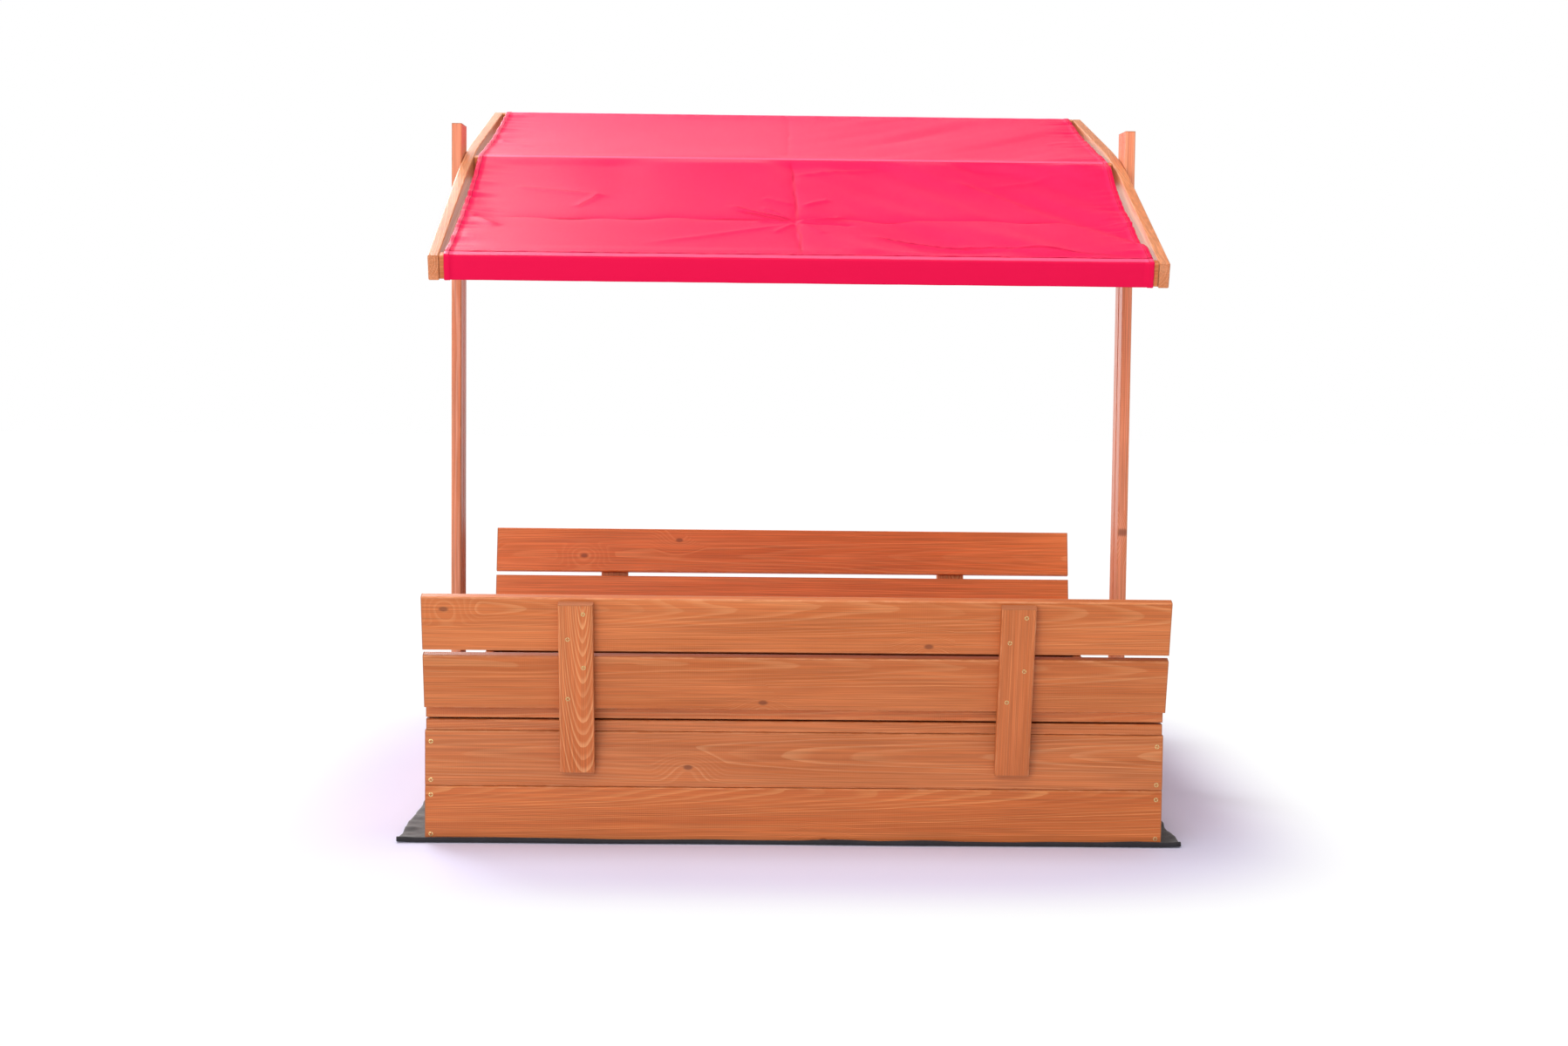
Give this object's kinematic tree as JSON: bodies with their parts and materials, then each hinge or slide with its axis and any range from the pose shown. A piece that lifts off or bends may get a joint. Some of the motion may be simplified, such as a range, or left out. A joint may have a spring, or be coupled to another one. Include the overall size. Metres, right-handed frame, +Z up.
{
  "type": "folding-bench sandbox with tilting roof",
  "caption": "Square board sandbox whose hinged lid folds out into facing benches with leaning backrests, under a cloth roof that tilts and slides on slotted posts.",
  "frame": {"origin": "ground level under the middle of the box", "axes": "+Z up, +X to the right along the benches, +Y to the rear, from the front bench to the rear bench"},
  "size_m": [1.292, 1.3846, 1.2703],
  "materials": {
    "stained_pine": "translucent orange-brown stain on planed softwood, satin",
    "canopy_cloth": "plain-woven polyester, bright raspberry red, matt with a soft sheen",
    "ground_fleece": "black non-woven ground fleece, matt",
    "zinc_plated_steel": "yellow-passivated zinc plating"
  },
  "bodies": {
    "box": {"ground_sheet": "ground_fleece", "front_wall_lower_board": "stained_pine", "front_wall_upper_board": "stained_pine", "rear_wall_lower_board": "stained_pine", "rear_wall_upper_board": "stained_pine", "left_wall_lower_board": "stained_pine", "left_wall_upper_board": "stained_pine", "right_wall_lower_board": "stained_pine", "right_wall_upper_board": "stained_pine", "left_post": "stained_pine", "right_post": "stained_pine", "front_fixed_outer_board": "stained_pine", "front_fixed_inner_board": "stained_pine", "front_left_fold_hinge_fixed_leaf": "zinc_plated_steel", "front_right_fold_hinge_fixed_leaf": "zinc_plated_steel", "rear_fixed_outer_board": "stained_pine", "rear_fixed_inner_board": "stained_pine", "rear_left_fold_hinge_fixed_leaf": "zinc_plated_steel", "rear_right_fold_hinge_fixed_leaf": "zinc_plated_steel"},
    "front_seat": {"front_seat_outer_board": "stained_pine", "front_seat_inner_board": "stained_pine", "front_left_seat_cleat": "stained_pine", "front_right_seat_cleat": "stained_pine", "front_left_fold_hinge_seat_leaf": "zinc_plated_steel", "front_left_back_hinge_seat_leaf": "zinc_plated_steel", "front_right_fold_hinge_seat_leaf": "zinc_plated_steel", "front_right_back_hinge_seat_leaf": "zinc_plated_steel"},
    "front_backrest": {"front_backrest_lower_board": "stained_pine", "front_backrest_upper_board": "stained_pine", "front_left_batten": "stained_pine", "front_right_batten": "stained_pine", "front_left_back_hinge_back_leaf": "zinc_plated_steel", "front_right_back_hinge_back_leaf": "zinc_plated_steel"},
    "rear_seat": {"rear_seat_outer_board": "stained_pine", "rear_seat_inner_board": "stained_pine", "rear_left_seat_cleat": "stained_pine", "rear_right_seat_cleat": "stained_pine", "rear_left_fold_hinge_seat_leaf": "zinc_plated_steel", "rear_left_back_hinge_seat_leaf": "zinc_plated_steel", "rear_right_fold_hinge_seat_leaf": "zinc_plated_steel", "rear_right_back_hinge_seat_leaf": "zinc_plated_steel"},
    "rear_backrest": {"rear_backrest_lower_board": "stained_pine", "rear_backrest_upper_board": "stained_pine", "rear_left_batten": "stained_pine", "rear_right_batten": "stained_pine", "rear_left_back_hinge_back_leaf": "zinc_plated_steel", "rear_right_back_hinge_back_leaf": "zinc_plated_steel"},
    "roof_bolts": {"left_pivot_bolt": "zinc_plated_steel", "left_pivot_washer": "zinc_plated_steel", "right_pivot_bolt": "zinc_plated_steel", "right_pivot_washer": "zinc_plated_steel"},
    "roof": {"left_roof_rail": "stained_pine", "right_roof_rail": "stained_pine", "front_roof_bar": "stained_pine", "ridge_roof_bar": "stained_pine", "rear_roof_bar": "stained_pine", "left_threaded_insert": "zinc_plated_steel", "right_threaded_insert": "zinc_plated_steel", "canopy": "canopy_cloth"}
  },
  "joints": [
    {"name": "front_seat_fold", "type": "hinge", "parent": "box", "child": "front_seat", "pos_m": [0, -0.4054, 0.2034], "axis": [-1, 0, 0], "range_deg": [0, 180]},
    {"name": "front_backrest_fold", "type": "hinge", "parent": "front_seat", "child": "front_backrest", "pos_m": [0, -0.607, 0.2244], "axis": [1, 0, 0], "range_deg": [0, 75.16]},
    {"name": "rear_seat_fold", "type": "hinge", "parent": "box", "child": "rear_seat", "pos_m": [0, 0.4054, 0.2034], "axis": [1, 0, 0], "range_deg": [0, 180]},
    {"name": "rear_backrest_fold", "type": "hinge", "parent": "rear_seat", "child": "rear_backrest", "pos_m": [0, 0.607, 0.2244], "axis": [-1, 0, 0], "range_deg": [0, 75.16]},
    {"name": "roof_slide", "type": "slide", "parent": "box", "child": "roof_bolts", "axis": [0, 0, 1], "range_m": [-0.42, 0]},
    {"name": "roof_tilt", "type": "hinge", "parent": "roof_bolts", "child": "roof", "pos_m": [0, 0, 1.1248], "axis": [1, 0, 0], "range_deg": [-35.4, 4.6]}
  ],
  "couplings": [
    {"joint": "front_backrest_fold", "follows": "front_seat_fold", "ratio": 0.41755},
    {"joint": "rear_backrest_fold", "follows": "rear_seat_fold", "ratio": 0.41755}
  ]
}
